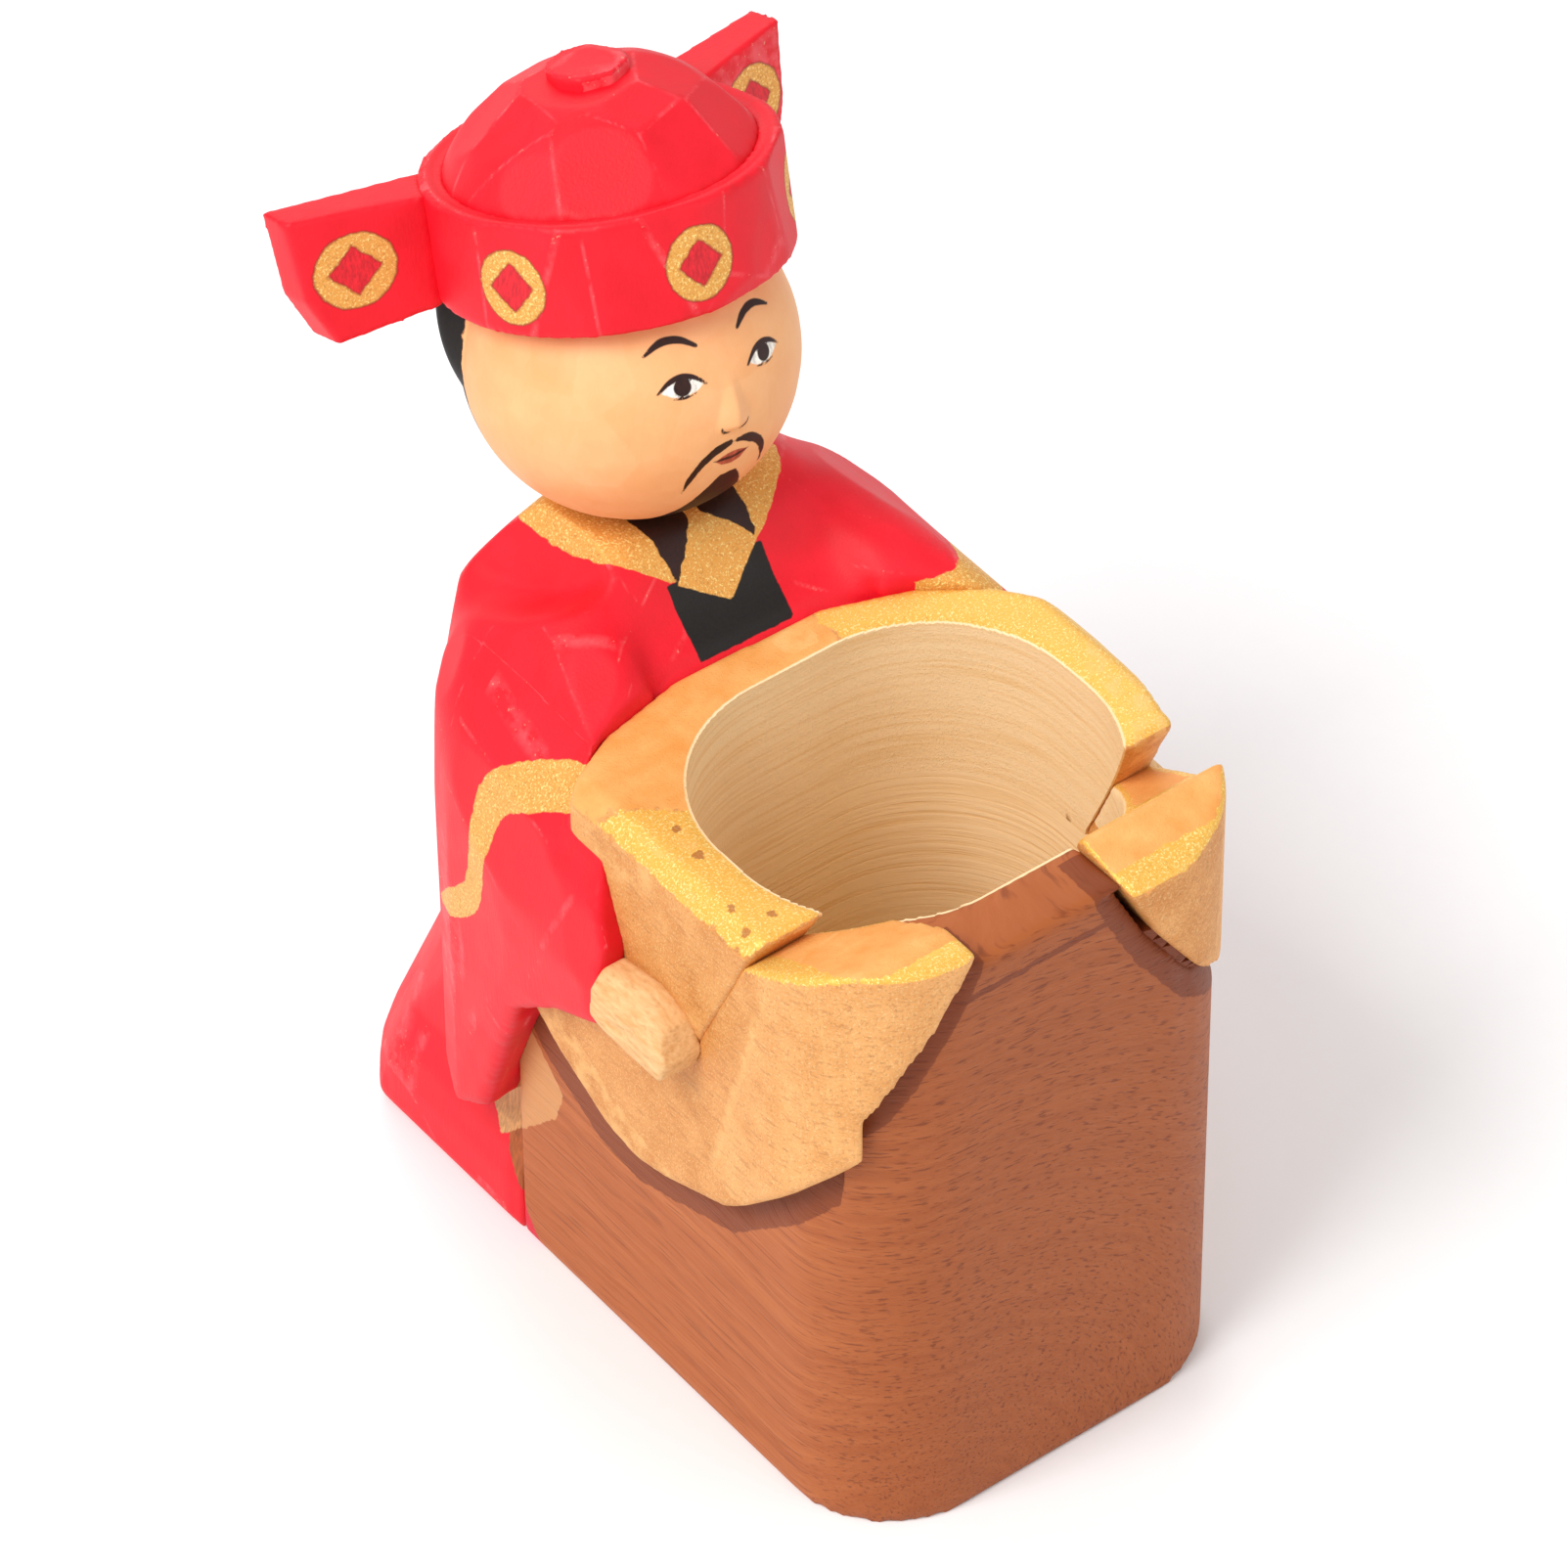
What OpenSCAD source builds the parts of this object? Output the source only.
// Carved and painted fortune figure standing behind a holder block.
// Millimetres. Origin at the bottom centre of the bounding box, +Z up, the figure faces -Y.

/* [Block and well] */
// Width of the brown block across the flanks
block_width = 39.2; // [30:0.1:60]
// Depth of the brown block, front face to the joint with the robe
block_depth = 46; // [35:0.1:70]
// Radius of the two front vertical corners of the block
corner_radius = 10; // [2:0.1:18]
// Height of the brown front rim
rim_height = 59.8; // [45:0.1:80]
// Height of the shelf that carries the raised ring
shelf_height = 44; // [30:0.1:60]
// Width of the well, left to right
well_width = 33.6; // [15:0.1:36]
// Depth of the well opening, front to back
well_length = 28.8; // [15:0.1:36]
// Radius of the corners of the well
well_radius = 13; // [2:0.1:14]
// Thickness of the wall in front of the well
well_front_wall = 5.9; // [3:0.1:10]
// Thickness of the floor under the well
well_floor = 6; // [3:0.1:15]

/* [Ingot] */
// Overhang of the ring and the left lobe past the block
ingot_overhang = 2; // [0.5:0.1:4]
// Overhang of the right lobe past the block
right_overhang = 0.6; // [0.2:0.1:4]
// Overhang of the lobes past the front face
front_overhang = 0.8; // [0.2:0.1:2]
// Height of the top of the ring
ring_height = 60; // [50:0.1:80]
// Width of the bevel around the top of the ring
ring_bevel = 1.4; // [0:0.1:3]
// Distance from the centre line to the left tip of the ingot
left_tip_reach = 9.8; // [3:0.1:15]
// Distance from the centre line to the right tip of the ingot
right_tip_reach = 5; // [3:0.1:15]

/* [Robe] */
// Total depth of the figure from the front face of the block to the hem
total_depth = 75; // [60:0.1:100]
// Height of the hem at the back of the robe
hem_height = 8; // [2:0.1:15]
// Height of the top of the collar
collar_height = 67; // [60:0.1:75]

/* [Head] */
// Radius of the head
head_radius = 13.3; // [10:0.1:18]
// Height of the centre of the head
head_height = 79; // [70:0.1:90]
// Distance from the front face of the block to the centre of the head
head_setback = 55; // [45:0.1:65]
// Tilt of the hat towards the back, in degrees
hat_tilt = 17; // [0:1:30]
// Tilt of the hat towards the right side, in degrees
hat_roll = 4; // [-8:1:8]

/* [Hat] */
// Radius of the hat band
band_radius = 14; // [12:0.1:18]
// Height of the hat band
band_height = 9; // [5:0.1:14]
// Distance from the centre of the head to the centre of the band
band_lift = 12.2; // [8:0.1:16]
// Radius of the crown where it meets the band
crown_radius = 11.4; // [8:0.1:14]
// Height of the crown above the band
crown_height = 6.4; // [4:0.1:14]
// Radius of the knob on the crown
knob_radius = 3.2; // [1.5:0.1:5]
// Height of the knob on the crown
knob_height = 1.8; // [1:0.1:5]
// Distance from the centre line of the hat to the tip of the left wing
left_wing_reach = 24.2; // [18:0.1:35]
// Distance from the centre line of the hat to the tip of the right wing
right_wing_reach = 23; // [18:0.1:35]
// Angle of the wings towards the back, in degrees
wing_sweep = 15; // [0:1:30]

/* [Joints] */
// Diameter of the dowels between the block and the robe
block_dowel_diameter = 6; // [3:0.1:8]
// Length of the dowels between the block and the robe
block_dowel_length = 15; // [8:0.1:20]
// Diameter of the dowel between the collar and the head
neck_dowel_diameter = 6; // [3:0.1:8]
// Length of the dowel between the collar and the head
neck_dowel_length = 15; // [8:0.1:20]
// Diameter of the dowel between the head and the hat
hat_dowel_diameter = 5; // [2:0.1:6]
// Diameter of the dowels between the sleeves and the robe
sleeve_dowel_diameter = 4; // [2:0.1:6]
// Diameter of the pegs between the hands and the sleeves
hand_peg_diameter = 1.4; // [0.8:0.1:1.8]

/* [Hidden] */

$fn = 96;
front = front_overhang - total_depth / 2;        // y of the front face of the block
half = block_width / 2;
side = half + ingot_overhang;                    // x of the outside of the ring
joint = front + block_depth;                     // y of the joint between block and robe
well_y = front + well_front_wall + well_length / 2;
back = total_depth - front_overhang;             // the hem, counted from the front face

brown = [0.62, 0.34, 0.17];
gold = [0.90, 0.66, 0.26];
red = [0.86, 0.08, 0.12];
skin = [0.95, 0.78, 0.56];
pale = [0.88, 0.74, 0.54];

// A flat rounded rectangle around the origin
module rounded(w, d, r) {
    square([w - 2 * r, d], center = true);
    square([w, d - 2 * r], center = true);
    for (x = [-1, 1], y = [-1, 1])
        translate([x * (w / 2 - r), y * (d / 2 - r)]) circle(r);
}

// A flat outline with two round front corners and a square back
module tongue(w, d, r) {
    translate([-w / 2, r]) square([w, d - r]);
    translate([-w / 2 + r, 0]) square([w - 2 * r, d]);
    for (x = [-1, 1]) translate([x * (w / 2 - r), r]) circle(r);
}

// Extrudes a side outline, given as [y from the front face, z], across x
module from_side(points, x0, x1) {
    translate([x0, front, 0]) rotate([90, 0, 90]) linear_extrude(x1 - x0) polygon(points);
}

// Extrudes a front outline, given as [x, z], along y
module from_front(points, y0, y1) {
    translate([0, front + y1, 0]) rotate([90, 0, 0]) linear_extrude(y1 - y0) polygon(points);
}

// Extrudes a plan outline, given as [x, y from the front face], up z
module from_top(points, z0, z1) {
    translate([0, front, z0]) linear_extrude(z1 - z0) polygon(points);
}

module well() {
    translate([0, well_y, well_floor]) linear_extrude(rim_height + 20)
        rounded(well_width, well_length, well_radius);
}

// Outline of the ingot flank seen from the side: the crescent, the raised tip and the saddle
lobe_belly = [[44, 36], [40, 31.3], [37.3, 29.2], [31, 25.7], [27, 25], [23.3, 25.9],
              [15.6, 28.9], [13.1, 31], [8, 36.2], [2, 43], [-2, 44]];
lobe_side_left = concat(lobe_belly, [[-2, 62.4], [3, 62.2], [7.5, 60.2], [12.67, 57.5],
                                     [19, shelf_height], [44, shelf_height]]);
lobe_side_right = concat(lobe_belly, [[-2, 58.6], [2, 60.2], [5, 61], [9, 56], [15.02, 52.5],
                                      [19, shelf_height], [44, shelf_height]]);
// Outlines of the two tips seen from the front
left_tip = [[-left_tip_reach, 64], [-left_tip_reach, 61.8], [-15.5, 52.2], [-18, 47],
            [-18, 20], [-side - 1, 20], [-side - 1, 64]];
right_tip = [[right_tip_reach, 64], [right_tip_reach, 59.6], [8.7, 52.6], [13.2, 46.1],
             [18, 42], [18, 20], [side + 1, 20], [side + 1, 64]];
tip_depth = 7.6;      // depth of the wall between the two tips

// The space of one lobe; face is the outline of its tip, dir is -1 for left and 1 for right
module lobe_space(face, dir) {
    over = dir > 0 ? right_overhang : ingot_overhang;
    intersection() {
        from_side(dir > 0 ? lobe_side_right : lobe_side_left, -side - 1, side + 1);
        translate([0, front - front_overhang, 0]) linear_extrude(70)
            tongue(block_width + 2 * over, block_depth, corner_radius + 1);
        union() {
            from_front(face, -front_overhang - 1, tip_depth);
            translate([dir > 0 ? 9 : -side - 1, front + tip_depth, 20])
                cube([side - 8, block_depth, 50]);
        }
    }
}

module lobe(face, dir) {
    color(gold) difference() {
        lobe_space(face, dir);
        well();
        translate([0, front, 0]) linear_extrude(shelf_height)
            tongue(block_width, block_depth, corner_radius);
    }
}

module holder_block() {
    color(brown) difference() {
        intersection() {
            translate([0, front, 0]) linear_extrude(rim_height)
                tongue(block_width, block_depth, corner_radius);
            union() {
                translate([-side, front, 0]) cube([2 * side, block_depth, shelf_height]);
                translate([-side, front, 0]) cube([2 * side, tip_depth, rim_height]);
            }
        }
        intersection() {
            union() {
                from_front(left_tip, -1, tip_depth);
                from_front(right_tip, -1, tip_depth);
            }
            translate([-side, front - 1, shelf_height]) cube([2 * side, block_depth, 30]);
        }
        well();
        block_dowel_set();
    }
}

// Outline of the ring from above, as [x, distance from the front face]
ring_plan = [[-side, 0], [-side, 34.5], [-16.5, 37.2], [-8, 39], [6, 38.6], [13, 36], [18.4, 32],
             [side - 0.4, 28], [side, 24.5], [20.9, 18], [19.6, 13], [18.5, 0]];

// The raised ring around the well, without its bore
module ring_form() {
    intersection() {
        from_side([[19, shelf_height], [11.5, ring_height], [60, ring_height],
                   [60, shelf_height]], -side - 1, side + 1);
        from_front([[-side, shelf_height], [-side, ring_height - ring_bevel],
                    [-side + ring_bevel, ring_height], [side - ring_bevel, ring_height],
                    [side, ring_height - ring_bevel], [side, shelf_height]], 0, block_depth);
        from_top(ring_plan, shelf_height, ring_height);
    }
}

module ingot_ring() {
    color(gold) difference() {
        ring_form();
        well();
    }
}

module ingot_lobe_left() { lobe(left_tip, -1); }

module ingot_lobe_right() { lobe(right_tip, 1); }

// Outline of the robe from the side, as [distance from the front face, z]
robe_side = [[block_depth, 0], [back, 0], [back, 5], [72.8, 9], [69.5, 16], [67.5, 30],
             [66.5, 44], [64, 53], [59.6, 61], [56.5, collar_height], [46.5, collar_height],
             [43.2, 62], [41.2, ring_height + 0.6], [36, ring_height - 2], [36, shelf_height],
             [block_depth, shelf_height]];
// Outline of the robe from the front, as [x, z]
robe_front = [[-half, 0], [-half, 4.8], [-half + 0.5, hem_height], [-17.8, 12], [-17, 30],
              [-17, 52], [-15.5, 59], [-12.8, 64], [-10.4, collar_height],
              [10.4, collar_height], [12.8, 64], [15.5, 59], [17, 52], [17, 30], [17.8, 12],
              [half - 0.5, hem_height], [half, 4.8], [half, 0]];
// Outlines of the robe from above, at the hem and above the knees, as [x, distance]
hem_plan = [[-half, 30], [-half, 65.5], [-16, 69.6], [-10, 73], [-5, back], [5, back],
            [10, 73], [16, 69.6], [half, 65.5], [half, 30]];
robe_plan = [[-half, 30], [-half, 49], [-17.6, 55.5], [-13.6, 61.5], [-8.6, 66], [-4, 68],
             [4, 68], [8.6, 66], [13.6, 61.5], [17.6, 55.5], [half, 49], [half, 30]];
flare_height = 22;                               // height at which the skirt starts to flare

module robe_form() {
    intersection() {
        from_side(robe_side, -half, half);
        from_front(robe_front, 30, back);
        union() {
            hull() {
                from_top(hem_plan, 0, hem_height / 2);
                from_top(robe_plan, flare_height - 1, flare_height);
            }
            from_top(robe_plan, flare_height, collar_height);
        }
    }
}

module robe_body() {
    color(red) difference() {
        robe_form();
        ring_form();
        head_ball();
        block_dowel_set();
        neck_dowel();
        sleeve_dowel_set();
    }
}

// Outlines of a hanging sleeve from the side, from the front and from above
sleeve_side = [[27.6, 41], [27.6, 48], [30.4, 56], [34, 61], [40, 63.5], [48, 64.6], [54, 62],
               [57, 54], [57.5, 40], [57, 18], [54.5, 14.5], [51, 13], [47, 15.5], [43, 26],
               [40, 33], [34, 38]];
sleeve_front = [[10, 67], [14.5, 64], [18.5, 59.8], [21.8, 55.5], [23.8, 50.5], [24.5, 45],
                [23.9, 36], [22.8, 26], [22, 12], [14, 12]];
sleeve_plan = [[24.8, 27], [24.2, 40], [22.9, 49], [20.6, 54], [16, 58.7], [10, 60], [10, 36],
               [18, 27]];

module sleeve_form() {
    intersection() {
        from_side(sleeve_side, 10, 30);
        from_front(sleeve_front, 26, 65);
        from_top(sleeve_plan, 10, 70);
    }
}

module sleeve(dir) {
    color(red) difference() {
        mirror([dir > 0 ? 0 : 1, 0, 0]) sleeve_form();
        robe_form();
        from_top(ring_plan, shelf_height, collar_height);
        translate([0, front, 0]) linear_extrude(shelf_height)
            tongue(block_width, block_depth, corner_radius);
        lobe_space(left_tip, -1);
        lobe_space(right_tip, 1);
        head_ball();
        sleeve_dowel_set();
        hand_peg_set();
    }
}

module sleeve_left() { sleeve(-1); }

module sleeve_right() { sleeve(1); }

// ---- Hands ----

hand_side = [[27.6, 41.6], [25, 40.9], [21.4, 41.3], [18.7, 42.7], [18, 44.6], [19.4, 46.7],
             [22.7, 47.8], [27.6, 47.2]];
hand_front = [[side, 40.4], [24, 40.9], [25.4, 43], [25.2, 45.8], [23.6, 47.6], [side, 48]];

module hand(dir) {
    color(pale) difference() {
        intersection() {
            from_side(hand_side, -30, 30);
            mirror([dir > 0 ? 0 : 1, 0, 0]) from_front(hand_front, 15, 30);
        }
        hand_peg_set();
    }
}

module hand_left() { hand(-1); }

module hand_right() { hand(1); }

// ---- Head and hat ----

module head_ball() { translate([0, front + head_setback, head_height]) sphere(head_radius); }

// Places its children on the tilted axis of the hat, z counted from the centre of the band
module hat_frame() {
    translate([0, front + head_setback, head_height]) rotate([-hat_tilt, hat_roll, 0])
        translate([0, 0, band_lift]) children();
}

module head() {
    color(skin) difference() {
        head_ball();
        neck_dowel();
        hat_dowel();
    }
}

band_top = band_height / 2;
groove = 0.8;                                    // depth and width of the groove round the crown
crown_seat = band_top - groove;
crown_rise = crown_height + groove;
crown_ball = (crown_radius * crown_radius + crown_rise * crown_rise) / (2 * crown_rise);
knob_seat = crown_seat + crown_rise - 0.5;

module hat_band() {
    color(red) difference() {
        hat_frame() translate([0, 0, -band_top]) cylinder(r = band_radius, h = band_height);
        hat_frame() translate([0, 0, crown_seat]) cylinder(r = crown_radius + groove, h = 5);
        head_ball();
        hat_dowel();
        wing_tenon(-1);
        wing_tenon(1);
    }
}

module hat_crown() {
    color(red) difference() {
        hat_frame() intersection() {
            translate([0, 0, crown_seat + crown_rise - crown_ball]) sphere(crown_ball);
            translate([0, 0, crown_seat])
                cylinder(r = crown_radius + 1, h = knob_seat - crown_seat);
        }
        hat_dowel();
    }
}

module hat_knob() {
    color(red) hat_frame() translate([0, 0, knob_seat])
        cylinder(r = knob_radius, h = knob_height, $fn = 8);
}

wing_root = 12;

// A wing, uncut at its root; dir is -1 for left and 1 for right
module wing_form(dir) {
    reach = dir > 0 ? right_wing_reach : left_wing_reach;
    drop = (reach - wing_root) * tan(wing_sweep);
    hat_frame() mirror([dir > 0 ? 0 : 1, 0, 0]) intersection() {
        translate([0, 20, 0]) rotate([90, 0, 0]) linear_extrude(20)
            polygon([[9, -4.4], [reach - 2.6, -5.6], [reach - 0.7, -1.5], [reach, 5.4], [9, 4]]);
        translate([0, 0, -10]) linear_extrude(20)
            polygon([[9, 3.6], [wing_root, 4.4], [reach, 4.4 + drop], [reach, 7.7 + drop],
                     [wing_root, 9.6], [9, 9.2]]);
    }
}

// The square tenon that holds a wing in the band
module wing_tenon(dir) {
    hat_frame() translate([dir > 0 ? band_radius - 5 : 1 - band_radius, 5.4, -2])
        cube([4, 3, 4]);
}

module wing(dir) {
    color(red) {
        difference() {
            wing_form(dir);
            hat_frame() translate([0, 0, -10]) cylinder(r = band_radius, h = 10 + band_top);
            hat_frame() cylinder(r = crown_radius + groove, h = 20);
            head_ball();
        }
        wing_tenon(dir);
    }
}

module hat_wing_left() { wing(-1); }

module hat_wing_right() { wing(1); }

// ---- Dowels ----

module block_dowel_set() {
    for (x = [-9, 9])
        translate([x, joint - block_dowel_length / 2, 22]) rotate([-90, 0, 0])
            cylinder(d = block_dowel_diameter, h = block_dowel_length);
}

module sleeve_dowel_set() {
    for (x = [-1, 1])
        translate([x * 11.5, front + 51, 38]) rotate([0, x * 90, 0])
            cylinder(d = sleeve_dowel_diameter, h = 9);
}

module hand_peg_set() {
    for (x = [-1, 1])
        translate([x * 23.2, front + 24.6, 44.4]) rotate([-90, 0, 0])
            cylinder(d = hand_peg_diameter, h = 6);
}

module neck_dowel() {
    color(pale) translate([0, front + head_setback, collar_height - neck_dowel_length / 2])
        cylinder(d = neck_dowel_diameter, h = neck_dowel_length);
}

module hat_dowel() {
    color(pale) hat_frame() translate([0, 0, -8])
        cylinder(d = hat_dowel_diameter, h = 8 + knob_seat - 2);
}

module block_dowels() { color(pale) block_dowel_set(); }

module sleeve_dowels() { color(pale) sleeve_dowel_set(); }

module hand_pegs() { color(pale) hand_peg_set(); }

holder_block();
ingot_ring();
ingot_lobe_left();
ingot_lobe_right();
robe_body();
sleeve_left();
sleeve_right();
hand_left();
hand_right();
head();
hat_band();
hat_crown();
hat_knob();
hat_wing_left();
hat_wing_right();
block_dowels();
neck_dowel();
hat_dowel();
sleeve_dowels();
hand_pegs();
